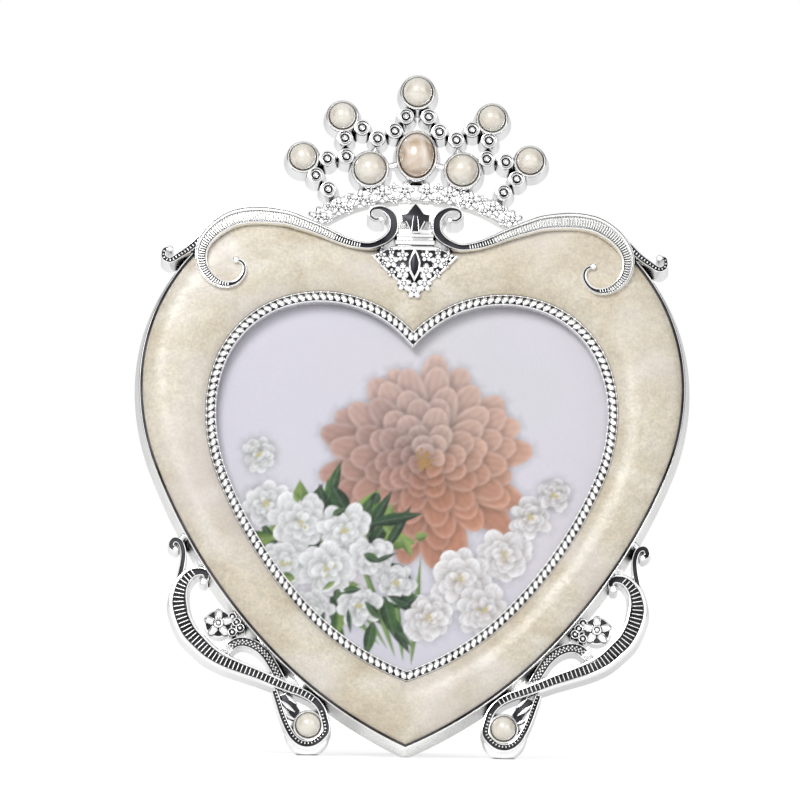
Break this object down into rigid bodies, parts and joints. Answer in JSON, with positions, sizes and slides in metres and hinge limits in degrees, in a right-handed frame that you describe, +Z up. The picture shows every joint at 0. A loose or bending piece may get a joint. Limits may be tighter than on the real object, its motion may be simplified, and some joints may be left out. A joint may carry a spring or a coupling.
{
  "type": "heart shaped photo frame",
  "caption": "Heart shaped photo frame in cast metal and pearl enamel, with a crown of pearls, scroll feet and a folding easel leg.",
  "frame": {"origin": "centre of the footprint box, on the surface the frame stands on", "axes": "+Z up, front towards -Y, +X to the viewer's right"},
  "size_m": [0.139, 0.0612, 0.1708],
  "materials": {
    "silver_plate": "bright silver plate with dark recesses",
    "enamel": "glossy pearl enamel",
    "pearl": "pearl lustre",
    "steel": "zinc plated",
    "nickel": "nickel plated",
    "clear_glass": "clear",
    "print": "semi gloss photograph paper",
    "card": "plain",
    "velvet_board": "covered in black velvet"
  },
  "bodies": {
    "frame": {"heart_casting": "silver_plate", "bead_trim": "silver_plate", "scroll_left": "silver_plate", "scroll_right": "silver_plate", "palmette": "silver_plate", "crown_casting": "silver_plate", "foot_scroll_left": "silver_plate", "foot_scroll_right": "silver_plate", "crown_top_pearl": "pearl", "crown_tip_pearls": "pearl", "crown_side_cabochons": "pearl", "crown_oval_cabochon": "pearl", "foot_pearls": "pearl", "hinge_fixed_leaf": "steel", "fixed_leaf_rivets": "steel", "hinge_pin": "steel", "scroll_screws": "steel", "palmette_screw": "steel", "crown_screws": "steel", "foot_scroll_screws": "steel", "turn_button_screws": "steel", "pearl_enamel": "enamel", "cover_glass": "clear_glass", "photo_print": "print", "filler_card": "card", "back_board": "velvet_board"},
    "leg": {"hinge_moving_leaf": "steel", "easel_leg": "velvet_board", "leg_rivets": "steel"},
    "turn_button_upper_left": {"turn_button_upper_left": "nickel"},
    "turn_button_upper_right": {"turn_button_upper_right": "nickel"},
    "turn_button_lower_left": {"turn_button_lower_left": "nickel"},
    "turn_button_lower_right": {"turn_button_lower_right": "nickel"}
  },
  "joints": [
    {"name": "easel_leg_fold", "type": "hinge", "parent": "frame", "child": "leg", "pos_m": [0, 0.00114, 0.098], "axis": [-1, 0, 0], "range_deg": [0, 28]},
    {"name": "turn_button_upper_left_turn", "type": "hinge", "parent": "frame", "child": "turn_button_upper_left", "pos_m": [-0.0453, 0.00262, 0.11023], "axis": [0, -0.9763, 0.2164], "continuous": true},
    {"name": "turn_button_upper_right_turn", "type": "hinge", "parent": "frame", "child": "turn_button_upper_right", "pos_m": [0.0453, 0.00262, 0.11023], "axis": [0, -0.9763, 0.2164], "continuous": true},
    {"name": "turn_button_lower_left_turn", "type": "hinge", "parent": "frame", "child": "turn_button_lower_left", "pos_m": [-0.04308, -0.01124, 0.0477], "axis": [0, -0.9763, 0.2164], "continuous": true},
    {"name": "turn_button_lower_right_turn", "type": "hinge", "parent": "frame", "child": "turn_button_lower_right", "pos_m": [0.04308, -0.01124, 0.0477], "axis": [0, -0.9763, 0.2164], "continuous": true}
  ]
}
